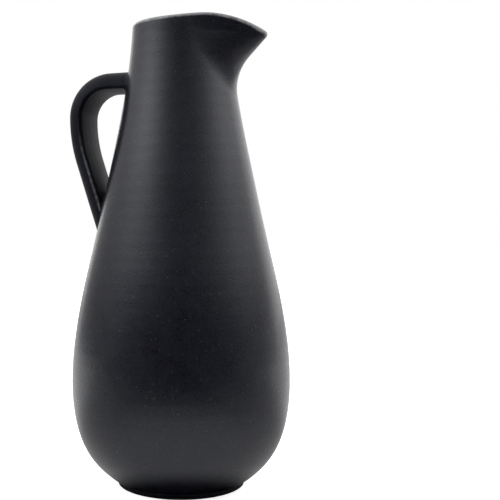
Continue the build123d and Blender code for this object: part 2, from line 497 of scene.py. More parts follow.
def face_rings(face, height, marks):
    """Rings on a face of the wall, moved out by the marks."""
    return upright_rings(face_distance(face, turns, height) + marks, height)


outer_up = outer_slip[1] + span(0, 1, upper_rows) * (outer_top - lip_depth - outer_slip[1])
outer_fade = ramp(outer_top - lip_depth - outer_up, outer_rim_fade)
outer_neck = face_rings(outer_face, outer_up, -wheel_marks(turns, outer_up, outer_mark_depth) * outer_fade)

lip_share = 0.5 - 0.5 * np.cos(span(0, math.pi, lip_rows))
lip_arch = (1 - np.abs(1 - 2 * lip_share) ** lip_fullness) ** (1 / lip_fullness)
low_outer, high_outer = (face_rings(outer_face, outer_top - depth, 0) for depth in (lip_depth, 0))
low_inner, high_inner = (face_rings(inner_face, inner_top - depth, 0) for depth in (lip_depth, 0))
low_lip = low_outer + (low_inner - low_outer) * lip_share[:, :, None]
high_lip = high_outer + (high_inner - high_outer) * lip_share[:, :, None]
lip = low_lip + (high_lip - low_lip) * lip_arch[:, :, None]
fall = np.linspace(0, 1, upper_rows)[:, None]
inner_down = inner_top - lip_depth + fall * (inner_slip[1] - inner_top + lip_depth)
inner_fade = ramp(inner_top - lip_depth - inner_down, inner_rim_fade)
inner_fade = inner_fade * ramp(inner_down - inner_slip[1], seam_fade)
inner_neck = face_rings(inner_face, inner_down, wheel_marks(turns, inner_down, inner_mark_depth) * inner_fade)
upper_rings = np.concatenate((outer_neck, lip, inner_neck))

# the lip's wear numbers also paint a pale highlight along the rounded lip
lip_wear_highlight = 4.0
side_wear_highlight = 0.3
side_wear_highlight_reach = 0.004
outer_wear_highlight, inner_wear_highlight = (
    side_wear_highlight * (1 - ramp(depth, side_wear_highlight_reach)) ** 2
    for depth in (outer_top - outer_up, inner_top - inner_down)
)
arch_wear_highlight = np.broadcast_to(lip_wear_highlight * lip_arch, (lip_rows, columns))
upper_wear_highlight = np.concatenate((outer_wear_highlight, arch_wear_highlight, inner_wear_highlight))
upper_wall_skin = ring_piece(
    "upper_wall_skin", upper_rings, upper_wear_highlight, ["upper_wall"], joined=True,
)

# %% [markdown]
# ## Foot
# The foot ring is a low turned ring with soft corners, and a thin layer of slip holds it under the
# belly. A profile that goes once round the clay makes each of them.

# %% Foot ring and foot slip
foot_rounding = 0.0010
corner_rows = 8
top_inset = 0.3 * foot_width
flat_shares = (0.3, 0.45, 0.6, 0.75)
ring_top = foot_height - slip_thickness


def rounded_corner(centre_radius, centre_height, radius, start, end):
    """Points of a rounded corner from one angle to another, in degrees."""
    angle = np.radians(np.linspace(start, end, corner_rows))
    return [(centre_radius + radius * math.cos(a), centre_height + radius * math.sin(a)) for a in angle]


foot_profile = [(recess_radius, ring_top), (recess_radius, 0.5 * ring_top)]
foot_profile += rounded_corner(recess_radius + foot_rounding, foot_rounding, foot_rounding, 180, 270)
foot_profile += [(recess_radius + foot_width * share, 0) for share in flat_shares]
foot_profile += rounded_corner(foot_radius - foot_rounding, foot_rounding, foot_rounding, 270, 360)
foot_profile += [(foot_radius, 0.5 * (foot_rounding + ring_top)), (foot_radius, ring_top)]
foot_profile += [(foot_radius - top_inset, ring_top), (recess_radius + top_inset, ring_top)]
foot_profile = np.array(foot_profile)
foot_wear = 1 - ramp(foot_profile[:, 1:], foot_rounding)
foot_rings = upright_rings(foot_profile[:, :1], foot_profile[:, 1:])
foot_ring_skin = ring_piece("foot_ring_skin", foot_rings, foot_wear, ["foot_ring"], joined=True)

slip_radii = np.array([recess_radius, foot_radius, foot_radius, recess_radius])
slip_heights = np.array([ring_top, ring_top, foot_height, foot_height])
foot_slip_rings = upright_rings(slip_radii[:, None], slip_heights[:, None])
ring_piece("foot_slip_ring", foot_slip_rings, 0, ["foot_slip"], joined=True)

# %% [markdown]
# ## The handle's line
# The handle was pulled as a strap and bent while soft. Its middle line leaves the neck level, turns
# down in a tight bend, eases inward in a long sway and runs straight to the shoulder. Such a line is
# easy to walk: the heading is a straight ramp over each stretch, and the place is the sum of steps.

# %% Handle path
handle_width = 0.0310
handle_thickness = 0.0122
handle_bulge = 0.0014
handle_ridge = 0.0018
outer_bend = 0.0296
outer_sway = 0.1000
half_thick = handle_thickness / 2
handle_reach = -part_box("handle")[0].x
handle_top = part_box("handle")[1].z
bend_radius = outer_bend - half_thick
sway_radius = outer_sway - half_thick
handle_lean = math.radians(18.3)
bend_length = bend_radius * math.pi / 2
sway_length = sway_radius * handle_lean
level_length = 0.020
lower_length = 0.080
path_samples = 3001

travel = np.linspace(-level_length, bend_length + sway_length + lower_length, path_samples)
ramps = [0, bend_length, bend_length + sway_length]
heading = np.interp(travel, ramps, [math.pi, 1.5 * math.pi, 1.5 * math.pi + handle_lean])
step = travel[1] - travel[0]
ahead = np.stack((np.cos(heading), np.sin(heading)), axis=1)
walked = np.concatenate((np.zeros((1, 2)), np.cumsum((ahead[1:] + ahead[:-1]) / 2 * step, axis=0)))
path_start = (bend_radius + half_thick - handle_reach + level_length, handle_top - half_thick)
middle_line = walked + np.array(path_start)
reach = round(-middle_line[:, 0].min() + half_thick, 4)
print("handle reaches", reach, "and its line is", round(travel[-1], 3), "long")

# %% [markdown]
# ## The handle's section
# Across, the back is low and its two sides lean out almost flat to a crisp ridge, the strap's widest
# place, that fingers slid along when it was pulled. A narrow bevel turns in from there to the inner
# face, which swells gently.

# %% Outline of the section
back_samples = 299
bulge_samples = 121
side_shares = [(1.0, -0.75), (0.89, 0.0), (0.58, 0.72)]
across = handle_width / 2
ridge = across - handle_ridge
side = [(out * across, up * half_thick) for out, up in side_shares]
other_side = [(-out, up) for out, up in side[::-1]]
back = smooth_line(side + [(0, half_thick)] + other_side, back_samples)
back = np.concatenate(([(ridge, -half_thick)], back, [(-ridge, -half_thick)]))
bulge_share = np.linspace(-1, 1, bulge_samples)[1:-1, None]
bulge = np.concatenate((ridge * bulge_share, -handle_bulge * (1 - bulge_share ** 2) - half_thick), axis=1)
outline = np.concatenate((back, bulge, back[:1]))
print("the outline has", len(outline), "points")

# %% [markdown]
# ## Points round the section
# The outline is cut into fine steps and softened by averaging neighbours. The mesh gets more lines
# along the handle where the outline turns quickly, and each line gets more wear and painted highlight
# the nearer it runs to a ridge.

# %% Handle section
section_columns = 120
section_samples = 600
softening = 10
corner_crowding = 5
# near the ridges the wear numbers also paint a pale highlight
ridge_wear_highlight = 1.4
ridge_wear_highlight_reach = 0.0009


def soften(values, rounds):
    """Values round a ring, averaged with their neighbours this many times."""
    for done in range(rounds):
        values = (np.roll(values, 1, axis=0) + 2 * values + np.roll(values, -1, axis=0)) / 4
    return values


section = soften(even_points(outline, section_samples, closed=True), softening)
edge = unit(np.roll(section, -1, axis=0) - np.roll(section, 1, axis=0))
normals = np.stack((edge[:, 1], -edge[:, 0]), axis=1)
if (normals * section).sum() < 0:
    normals = -normals
turning = np.linalg.norm(np.roll(normals, -1, axis=0) - np.roll(normals, 1, axis=0), axis=1)
crowding = np.cumsum(1 + corner_crowding * turning / turning.max())
pick = np.searchsorted(crowding, np.linspace(0, crowding[-1], section_columns, endpoint=False))
section, normals = section[pick], normals[pick]
from_ridge = np.hypot(np.abs(section[:, 0]) - side[0][0], section[:, 1] - side[0][1])
section_wear_highlight = np.clip(ridge_wear_highlight - from_ridge / ridge_wear_highlight_reach, 0, 1)
print("section is", round(np.ptp(section[:, 0]), 4), "wide and", round(np.ptp(section[:, 1]), 4), "thick")

# %% [markdown]
# ## The handle's surface
# Any place on the strap is a travel along the middle line and a place across the section. Fingers
# that pulled the strap left shallow grooves along it, which fade out near the roots.

# %% Point on the handle
pull_depth = 0.00004
pull_pitch = 0.0062
root_tries = 400


def on_handle(distance, place):
    """Points of the handle: travel along its line, and place across and up in its section."""
    x = np.interp(distance, travel, middle_line[:, 0])
    z = np.interp(distance, travel, middle_line[:, 1])
    turned = np.interp(distance, travel, heading)
    up = place[..., 1]
    return np.stack((x + up * np.sin(turned), place[..., 0] + 0 * x, z - up * np.cos(turned)), axis=-1)


def handle_axes(distance, place_normal):
    """Direction of travel, and the outward normal of the section, as points in space."""
    turned = np.interp(distance, travel, heading)
    forward = np.stack((np.cos(turned), 0 * turned, np.sin(turned)), axis=-1)
    side, up = place_normal[..., 0], place_normal[..., 1]
    outward = np.stack((up * np.sin(turned), side, -up * np.cos(turned)), axis=-1)
    return forward, outward


def meets_wall(place, near):
    """Travel at which lines along the handle cross the wall, within this stretch of travel."""
    tries = np.linspace(*near, root_tries)
    crossings = []
    for spot in place:
        x, y, z = on_handle(tries, np.broadcast_to(spot, (len(tries), 2))).T
        outside = np.hypot(x, y) - wall_radius(z)
        order = np.argsort(outside)
        crossings.append(np.interp(0, outside[order], tries[order]))
    return np.array(crossings)


upper_stretch = (-level_length, 0)
lower_stretch = (bend_length + sway_length, travel[-1])
upper_root = meets_wall(section, upper_stretch)
lower_root = meets_wall(section, lower_stretch)
for name, root in (("upper", upper_root), ("lower", lower_root)):
    print(name, "root meets the wall at travel", np.round([root.min(), root.max()], 4))

# %% [markdown]
# ## Roots
# A handle is never just pushed against the wall: slip is pressed into the corner and smoothed to a
# small fillet. Its size follows from the corner: a ball of one radius rolls round the joint, so it
# reaches far up where the handle meets the wall at a narrow angle and hardly at all where the angle
# is wide. Each fillet line is a Bezier curve that starts along the handle and ends along the wall.

# %% Directions on the wall
def wall_normal(points):
    """The wall's outward direction beside these points."""
    radius = np.hypot(points[..., 0], points[..., 1])
    slope = np.interp(points[..., 2], outer_line[:, 1], np.gradient(outer_line[:, 0], outer_line[:, 1]))
    return unit(np.stack((points[..., 0] / radius, points[..., 1] / radius, -slope), axis=-1))


def onto_wall(points):
    """The points, moved level until they lie on the wall."""
    radius = np.hypot(points[..., 0], points[..., 1])
    scale = wall_radius(points[..., 2]) / radius
    return points * np.stack((scale, scale, np.ones_like(scale)), axis=-1)


def along_wall(direction, points):
    """The part of a direction that lies in the wall, at unit length."""
    normal = wall_normal(points)
    return unit(direction - (direction * normal).sum(-1)[..., None] * normal)


# %% Root fillets
fillet_ball = 0.0022
fillet_reach_limit = 0.0075
fillet_rows = 12
fillet_smoothing = 8
slip_margin = 1.5
curve_pull = 0.55
cap_shares = (0, 0.3, 0.6, 0.85)


def root_parts(root, stretch, away):
    """A root's rings: the handle's closed end, where its fillet starts, the fillet, the wall side."""
    forward, outward = handle_axes(root, normals)
    from_wall = away * forward
    corner = on_handle(root, section)
    spread = along_wall(outward, corner)
    angle = np.arccos(np.clip((from_wall * spread).sum(-1), -1, 1))
    reach = soften(np.minimum(fillet_ball / np.tan(angle / 2), fillet_reach_limit), fillet_smoothing)
    fillet_start = root + away * np.maximum(reach, slip_margin * slip_thickness)
    top = on_handle(fillet_start, section)
    bottom = onto_wall(corner + spread * reach[:, None])
    top_pull = top - from_wall * (curve_pull * reach)[:, None]
    bottom_pull = bottom - along_wall(spread, bottom) * (curve_pull * reach)[:, None]
    t = np.linspace(0, 1, fillet_rows)[:, None, None]
    fillet = (1 - t) ** 3 * top + 3 * t * (1 - t) ** 2 * top_pull
    fillet = fillet + 3 * t ** 2 * (1 - t) * bottom_pull + t ** 3 * bottom
    handle_end, wall_side = [], []
    for share in cap_shares:
        crossing = meets_wall(section * share, stretch)
        handle_end.append(on_handle(crossing + away * slip_thickness, section * share))
        wall_side.append(on_handle(crossing, section * share))
    handle_end.append(on_handle(root + away * slip_thickness, section))
    wall_side.append(corner)
    return np.array(handle_end), fillet_start, fillet, np.array(wall_side)


upper_parts = root_parts(upper_root, upper_stretch, away=1)
lower_parts = root_parts(lower_root, lower_stretch, away=-1)
for name, parts in (("upper", upper_parts), ("lower", lower_parts)):
    fillet_span = np.linalg.norm(parts[2][0] - parts[2][-1], axis=1)
    print(name, "fillet spans", np.round([fillet_span.min(), fillet_span.max()], 4))

# %% [markdown]
# ## Handle skin and the slip at its roots
# The handle's rings run from one fillet to the other, and its closed ends follow the wall's curve.
# Its ridges get wear and a pale painted highlight, strongest on the lower half. Each pad of slip is a
# closed skin too: it lies between the handle's end and the wall, and comes out round the joint as the
# fillet.

# %% Handle and its two slips
handle_rows = 230
root_fade = 0.012
groove_sway = 0.021
wave_length = 0.0093
least_highlight = 0.05
highlight_growth = 2.4
along_share = np.linspace(0, 1, handle_rows)[1:-1, None]
handle_travel = upper_parts[1] + along_share * (lower_parts[1] - upper_parts[1])
from_roots = np.minimum(handle_travel - upper_parts[1], lower_parts[1] - handle_travel)
grooves = 0.5 + 0.35 * np.sin(math.tau * section[:, 0] / pull_pitch + np.sin(handle_travel / groove_sway))
unevenness = 0.5 + 0.5 * np.sin(handle_travel / wave_length + 0.6)
cut = ramp(from_roots, root_fade) * pull_depth * (grooves + unevenness)
strap = on_handle(handle_travel, section[None] - normals[None] * cut[:, :, None])
upper_start = on_handle(upper_parts[1], section)[None]
lower_start = on_handle(lower_parts[1], section)[None]
handle_rings = np.concatenate((upper_parts[0], upper_start, strap, lower_start, lower_parts[0][::-1]))
handle_wear_highlight = np.zeros((len(handle_rings), section_columns))
# the ridges' pale painted highlight grows towards the lower half of the handle
lower_half_highlight = np.clip(np.linspace(-highlight_growth, highlight_growth, handle_rows), least_highlight, 1)
handle_wear_highlight[len(upper_parts[0]):-len(lower_parts[0])] = section_wear_highlight * lower_half_highlight[:, None]
handle_skin = ring_piece("handle_skin", handle_rings, handle_wear_highlight, ["handle"], joined=False)

for name, node, parts in (
    ("upper_root_slip", "upper_handle_slip", upper_parts),
    ("lower_root_slip", "lower_handle_slip", lower_parts),
):
    pad_rings = np.concatenate((parts[0], parts[2], parts[3][::-1]))
    ring_piece(name, pad_rings, 0, [node], joined=False)

# %% [markdown]
# ## How well the skins fit the solids
# The skins were made by formula, so they are measured against the solids that they stand for. The
# farthest distance from a skin's point to its solid should be a few tenths of a millimetre, the depth
# of the marks. It is about a millimetre on the handle, whose crisp ridges the solid only rounds off.

# %% Fit of the skins
from mathutils.bvhtree import BVHTree

every = 7
for node, skin in (
    ("belly", belly_skin), ("upper_wall", upper_wall_skin),
    ("foot_ring", foot_ring_skin), ("handle", handle_skin),
):
    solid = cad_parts[node].data
    surface = BVHTree.FromPolygons([v.co for v in solid.vertices], [p.vertices for p in solid.polygons])
    gaps = 1000 * np.array([surface.find_nearest(v.co)[3] for v in list(skin.data.vertices)[::every]])
    most, mean = round(gaps.max(), 2), round(gaps.mean(), 3)
    print(skin.name, "lies within", most, "mm of its solid, on average", mean)

# %% [markdown]
# ## Building blocks for the finish
# The finish is made of nodes. Short helpers add a node with its settings, set or link its sockets,
# and do sums, and the nodes are laid out on the sheet in the order in which they are made.

# %% Node helpers
nodes_in_row = 8
node_width = 200
node_height = 320


def feed(tree, value, socket):
    """Give a socket a value of its own, or link it to the socket that makes its value."""
    if isinstance(value, bpy.types.NodeSocket):
        tree.links.new(value, socket)
    else:
        socket.default_value = value


def add_node(tree, kind, **settings):
    """A node with its settings; a name that isn't a setting of the node is one of its sockets."""
    row, column = divmod(len(tree.nodes), nodes_in_row)
    node = tree.nodes.new(kind)
    node.location = (node_width * column, -node_height * row)
    for name, value in settings.items():
        if hasattr(node, name):
            setattr(node, name, value)
        else:
            feed(tree, value, node.inputs[name.replace("_", " ")])
    return node


def math_node(tree, operation, first, second):
    """The result of a Math node; each side is a socket or a number."""
    node = add_node(tree, "ShaderNodeMath", operation=operation)
    feed(tree, first, node.inputs[0])
    feed(tree, second, node.inputs[1])
    return node.outputs[0]


def times(tree, first, second):
    return math_node(tree, "MULTIPLY", first, second)


def plus(tree, first, second):
    return math_node(tree, "ADD", first, second)


def plus_shares(tree, value, *parts):
    """A value plus others; each part is a socket and the share of it that is added."""
    for part, share in parts:
        value = plus(tree, value, times(tree, part, share))
    return value


def remap(tree, value, low, high, to_low=0, to_high=1):
    """A smooth ramp of a value from one range to another."""
    node = add_node(
        tree, "ShaderNodeMapRange", interpolation_type="SMOOTHSTEP",
        Value=value, From_Min=low, From_Max=high, To_Min=to_low, To_Max=to_high,
    )
    return node.outputs["Result"]


# %% [markdown]
# ## Fired grain
# Stoneware is never even. Under the black coat lie grains of sand and clay, about a millimetre
# across, and the coat itself is a little thicker here and thinner there. One group gives the fine
# grain, the soft clouds, and a height for bumps. A node group keeps such an effect behind named
# inputs and outputs, so that it can serve several materials. It reads object coordinates: every piece
# has its origin on the jug's axis, so the grain runs on from one piece to the next.

# %% Fired grain group
def pattern(tree, kind, spacing, **settings):
    """A noise or a cell pattern of this spacing in metres, laid out on the piece itself."""
    place = add_node(tree, "ShaderNodeTexCoord")
    scale = math_node(tree, "DIVIDE", 1, spacing)
    return add_node(tree, kind, Vector=place.outputs["Object"], Scale=scale, **settings)


def new_group(name, inputs, outputs):
    """A shader node group with number inputs and number outputs, and its two end nodes."""
    tree = bpy.data.node_groups.new(name, "ShaderNodeTree")
    for label, value in inputs.items():
        socket = tree.interface.new_socket(label, in_out="INPUT", socket_type="NodeSocketFloat")
        socket.default_value = value
    for label in outputs:
        tree.interface.new_socket(label, in_out="OUTPUT", socket_type="NodeSocketFloat")
    return tree, add_node(tree, "NodeGroupInput").outputs, add_node(tree, "NodeGroupOutput").inputs


cloud_height = 0.5
grain_sizes = {"Grain Size": 0.0011, "Cloud Size": 0.012}
tree, sizes, made = new_group("Fired Grain", grain_sizes, ["Grain", "Cloud", "Height"])
grain_tree = tree
grains = pattern(tree, "ShaderNodeTexNoise", sizes["Grain Size"], Detail=3, Roughness=0.6)
clouds = pattern(tree, "ShaderNodeTexNoise", sizes["Cloud Size"], Detail=4, Roughness=0.55)
grain_mask = remap(tree, grains.outputs["Fac"], 0.3, 0.7)
cloud_mask = remap(tree, clouds.outputs["Fac"], 0.32, 0.68)
feed(tree, grain_mask, made["Grain"])
feed(tree, cloud_mask, made["Cloud"])
feed(tree, plus_shares(tree, grain_mask, (cloud_mask, cloud_height)), made["Height"])
print("group", tree.name, "puts out", [socket.name for socket in made if socket.name])

# %% [markdown]
# ## Specks and pinholes
# A few grains of pale feldspar shine through the coat, and gas has left a few tiny pinholes. Both
# come from cells: each cell of a Voronoi pattern has a centre and a random colour. Where the colour
# is below a limit, the centre gets a dot. The group also gives a dome, which falls from 1 in the
# middle of a dot to 0 at its edge, for grains of sand that stand up under the coat.

# %% Speck group
speck_amounts = {"Spacing": 0.004, "Share": 0.3, "Size": 0.1}
tree, amounts, made = new_group("Clay Specks", speck_amounts, ["Dot", "Dome"])
speck_tree = tree
cells = pattern(tree, "ShaderNodeTexVoronoi", amounts["Spacing"])
from_centre = cells.outputs["Distance"]
chance = add_node(tree, "ShaderNodeSeparateColor", Color=cells.outputs["Color"])
chosen = math_node(tree, "LESS_THAN", chance.outputs["Red"], amounts["Share"])
own_size = times(tree, chance.outputs["Green"], amounts["Size"])
dot = times(tree, math_node(tree, "LESS_THAN", from_centre, own_size), chosen)
inward = math_node(tree, "SUBTRACT", 1, math_node(tree, "DIVIDE", from_centre, own_size))
feed(tree, dot, made["Dot"])
feed(tree, times(tree, inward, dot), made["Dome"])
print("group", tree.name, "takes", [socket.name for socket in amounts if socket.name])

# %% [markdown]
# ## Marks along one direction
# A turning pot is wiped along its rings, and a strap is wiped along its length. Noise that is
# stretched one way makes both: soft bands, and rare thin scratches where a grain of sand was dragged.

# %% Wiping marks group
def wiping_group(name, stretch):
    """Bands and scratches; stretch gives how tightly they lie along X, Y and Z."""
    tree, counts, made = new_group(name, {"Band Count": 260, "Scratch Count": 900}, ["Band", "Scratch"])
    place = add_node(tree, "ShaderNodeTexCoord")
    squeeze = add_node(tree, "ShaderNodeVectorMath", operation="MULTIPLY")
    feed(tree, place.outputs["Object"], squeeze.inputs[0])
    feed(tree, stretch, squeeze.inputs[1])
    for mark, detail, roughness, low, high in (("Band", 3, 0.6, 0.3, 0.7), ("Scratch", 2, 0.5, 0.68, 0.76)):
        noise = add_node(
            tree, "ShaderNodeTexNoise", Vector=squeeze.outputs[0], Scale=counts[mark + " Count"],
            Detail=detail, Roughness=roughness,
        )
        feed(tree, remap(tree, noise.outputs["Fac"], low, high), made[mark])
    print("group", name, "has", len(tree.nodes), "nodes")
    return tree


ring_marks_tree = wiping_group("Wiped Rings", (0.10, 0.10, 1.0))
length_marks_tree = wiping_group("Wiped Lengthwise", (0.6, 1.0, 0.08))

# %% [markdown]
# ## Edge wear and painted highlight
# The rim, the foot and the ridges of the handle are touched most. Each mesh already says where, with
# its numbers for wear and painted highlight: on the lip and the handle's ridges the pale worn clay is
# also a painted highlight. The group breaks that smooth number up with noise, because wear comes in
# patches.

# %% Edge wear and highlight group
tree, amounts, made = new_group("Edge Wear And Highlight", {"Amount": 0.5, "Patch Size": 0.003}, ["Worn"])
wear_and_highlight_tree = tree
patches = pattern(tree, "ShaderNodeTexNoise", amounts["Patch Size"], Detail=5, Roughness=0.7)
edges = add_node(tree, "ShaderNodeAttribute", attribute_name="wear_and_highlight")
patch_mask = remap(tree, patches.outputs["Fac"], 0.35, 0.65, 0.25, 1)
worn_edges_and_highlight = times(tree, patch_mask, edges.outputs["Fac"])
feed(tree, times(tree, worn_edges_and_highlight, amounts["Amount"]), made["Worn"])
print("group", tree.name, "reads the wear numbers of each mesh")

# %% [markdown]
# ## The black satin coat
# The coat is nearly black with a breath of blue, and satin: it mirrors large lamps softly and turns
# bright where it is seen at a slant. Colour goes from the deep tone to the thin tone with the
# clouds and grain, then to scratch, sand, speck, worn clay and pinhole. The pale sand is partly a
# thinner coat over each grain and partly painted glints, and the worn clay on the lip and the handle's
# ridges is partly a painted highlight. Roughness follows the coat's thickness and the wear, so the
# gloss breaks up where the colour does. The same function makes every piece's material, each with its
# own marks and amounts: how light the tone is, how much the surface mirrors, and how much of a smooth
# gloss lies over it; the foot's dark tone is painted shade. Handle and root slip have none of that gloss.

# %% Coat material
deep_black = (0.0020, 0.0023, 0.0050)
thin_black = (0.0120, 0.0126, 0.0190)
# pale grain colour: also the painted glint on the sand domes
pale_grain_and_glint = (0.110, 0.108, 0.105, 1)
pinhole_black = (0.0010, 0.0010, 0.0012, 1)
# pale worn clay, also used as a painted highlight on the lip and the handle's ridges
bare_clay_and_highlight = (0.270, 0.270, 0.280, 1)
cool_gloss = (0.80, 0.83, 1.0, 1)
grain_share, cloud_share = 0.70, 0.30
sand_glint_show, speck_show = 0.40, 0.55
thick_smoother, thin_rougher = 0.03, 0.04
band_rough, worn_rough = 0.02, 0.10
band_rise, sand_rise, pinhole_rise = 0.22, 1.4, -3
bump_distance = 0.000065
gloss_roughness = 0.18
colour_below, colour_above, mixed_colour = 6, 7, 2


def new_material(name):
    """A material with an empty sheet, and that sheet."""
    material = bpy.data.materials.new(name)
    material.use_nodes = True
    material.node_tree.nodes.clear()
    return material, material.node_tree


def laid_over(tree, below, mask, above):
    """One colour laid over another where the mask is 1, with a Mix node's colour sockets."""
    mix = add_node(tree, "ShaderNodeMix", data_type="RGBA", Factor=mask)
    feed(tree, below, mix.inputs[colour_below])
    feed(tree, above, mix.inputs[colour_above])
    return mix.outputs[mixed_colour]


def coat_material(name, marks_tree, tone, roughness, mirror, gloss, scratches, wear_and_highlight):
    """The satin black coat over fired clay, with this piece's own marks."""
    material, tree = new_material(name)

    def effect(group_tree, **amounts):
        return add_node(tree, "ShaderNodeGroup", node_tree=group_tree, **amounts).outputs

    grain = effect(grain_tree)
    marks = effect(marks_tree)
    specks = effect(speck_tree, Spacing=0.0031, Share=0.40, Size=0.105)
    pinholes = effect(speck_tree, Spacing=0.0160, Share=0.30, Size=0.045)
    sand_and_glint = effect(speck_tree, Spacing=0.0026, Share=0.55, Size=0.30)
    worn_and_highlight = effect(wear_and_highlight_tree, Amount=wear_and_highlight)["Worn"]

    deep = (*(part * tone for part in deep_black), 1)
    colour = (*(part * tone for part in thin_black), 1)
    thin = plus_shares(tree, times(tree, grain["Grain"], grain_share), (grain["Cloud"], cloud_share))
    colour = laid_over(tree, deep, thin, colour)
    for mask, laid in (
        (times(tree, marks["Scratch"], scratches), pale_grain_and_glint),
        # pale sand domes: partly a thinner coat over each grain, partly painted glints
        (times(tree, sand_and_glint["Dome"], sand_glint_show), pale_grain_and_glint),
        (times(tree, specks["Dot"], speck_show), pale_grain_and_glint),
        # worn clay: on the lip and the handle's ridges this pale colour is also a painted highlight
        (worn_and_highlight, bare_clay_and_highlight),
        (pinholes["Dot"], pinhole_black),
    ):
        colour = laid_over(tree, colour, mask, laid)

    rough = remap(tree, thin, 0, 1, roughness - thick_smoother, roughness + thin_rougher)
    rough = plus_shares(tree, rough, (marks["Band"], band_rough), (worn_and_highlight, worn_rough))
    heights = (marks["Band"], band_rise), (sand_and_glint["Dome"], sand_rise), (pinholes["Dot"], pinhole_rise)
    height = plus_shares(tree, grain["Height"], *heights)
    bump = add_node(tree, "ShaderNodeBump", Strength=1.0, Distance=bump_distance, Height=height)
    coat = add_node(
        tree, "ShaderNodeBsdfPrincipled", IOR=1.5, Specular_IOR_Level=mirror, Specular_Tint=cool_gloss,
        Coat_Weight=gloss, Coat_Roughness=gloss_roughness,
        Base_Color=colour, Roughness=rough, Normal=bump.outputs["Normal"],
    )
    add_node(tree, "ShaderNodeOutputMaterial", Surface=coat.outputs["BSDF"])
    return material


# %% [markdown]
# ## Which piece wears which coat
# Belly, upper wall and the slip between them were coated in one dip, so they share one finish. The
# handle is more matt, because its strap was wiped lengthwise, and the slip at its roots is like it.
# The foot was wiped nearly bare of gloss, and its colour is darkened to three tenths of the wall's
# tone as painted shade, for the shadow it stands in.

# %% Coats
wall_coat = coat_material(
    "satin_black_wall", ring_marks_tree,
    tone=1.0, roughness=0.29, mirror=0.28, gloss=0.62, scratches=0.05, wear_and_highlight=0.85,
)
handle_coat = coat_material(
    "satin_black_handle", length_marks_tree,
    tone=0.85, roughness=0.43, mirror=0.11, gloss=0.0, scratches=0.05, wear_and_highlight=0.55,
)
slip_coat = coat_material(
    "satin_black_slip", ring_marks_tree,
    tone=0.85, roughness=0.42, mirror=0.13, gloss=0.0, scratches=0.05, wear_and_highlight=0.30,
)
# tone=0.3 darkens the foot's colour: painted shade for the shadow that the foot stands in
foot_coat_painted_shade = coat_material(
    "painted_shade_black_foot", ring_marks_tree,
    tone=0.3, roughness=0.45, mirror=0.31, gloss=0.05, scratches=0.10, wear_and_highlight=0.30,
)
for coat, names in (
    (wall_coat, ("belly_skin", "upper_wall_skin", "shoulder_slip_ring")),
    (handle_coat, ("handle_skin",)),
    (slip_coat, ("upper_root_slip", "lower_root_slip")),
    (foot_coat_painted_shade, ("foot_ring_skin", "foot_slip_ring")),
):
    for name in names:
        bpy.data.objects[name].data.materials.append(coat)
    print(coat.name, "is on", ", ".join(names))

# %% [markdown]
# ## The table
# The jug stands on a white table whose front edge is near, just below the picture. That edge
# matters: the lower belly mirrors the white table, and above it the belly mirrors the dark room past
# the edge. The table is one face, square to the camera's direction.

# %% Table top
table_reach = 6.0
table_front = 0.45
toward_camera = Vector((math.sin(camera_turn), -math.cos(camera_turn), 0))
sideways = Vector((math.cos(camera_turn), math.sin(camera_turn), 0))
corner_places = (
    (table_front, -table_reach), (table_front, table_reach),
    (-table_reach, table_reach), (-table_reach, -table_reach),
)
corners = [tuple(toward_camera * front + sideways * side) for front, side in corner_places]
table_mesh = bpy.data.meshes.new("table_top")
table_mesh.from_pydata(corners, [], [(0, 1, 2, 3)])
table_top = put_in_scene("table_top", table_mesh)
print("the table's front edge is", table_front, "m before the jug's axis")

# %% [markdown]
# ## How white the table looks
# To the camera, a little light of its own brings the table up to paper white, while the jug's soft
# shadow stays. In the jug's gloss the table is darker, with painted light and shade: it fades from
# behind the jug to its front edge, so that no hard line crosses the belly, and a painted shade darkens
# the crevice round the foot. These painted shades are laid out on the table itself, so they stay put
# from every side.

# %% Table finish
table_white = (0.80, 0.80, 0.80, 1)
black = (0, 0, 0, 1)
camera_fill = 0.78
mirror_fill = 0.22
crevice_radius = foot_radius - 0.010
crevice_width = 0.026
crevice_shift = 0.016
close_light_shift = 0.12
table_material, tree = new_material("white_table")
on_table = add_node(tree, "ShaderNodeTexCoord").outputs["Object"]


def across_table(operation, point):
    """A number at each place of the table: its distance from a point, or its dot product with it."""
    node = add_node(tree, "ShaderNodeVectorMath", operation=operation)
    feed(tree, on_table, node.inputs[0])
    feed(tree, point, node.inputs[1])
    return node.outputs["Value"]


forward = across_table("DOT_PRODUCT", toward_camera)
from_close_light = across_table("DISTANCE", toward_camera * close_light_shift)
from_crevice = across_table("DISTANCE", toward_camera * crevice_shift)
front_light = remap(tree, forward, 0.0, 0.50, 0.41, 0.14)
close_light = remap(tree, from_close_light, 0.04, 0.24, 0.37, 0)
behind_light = remap(tree, forward, -0.18, -0.01, 0.34, 0)
# painted shade: the table is dark in the crevice round the foot, seen only in the jug's gloss
open_floor = remap(tree, from_crevice, crevice_radius, crevice_radius + crevice_width)
floor_light = plus(tree, front_light, plus(tree, close_light, behind_light))
mirrored_floor = times(tree, floor_light, open_floor)

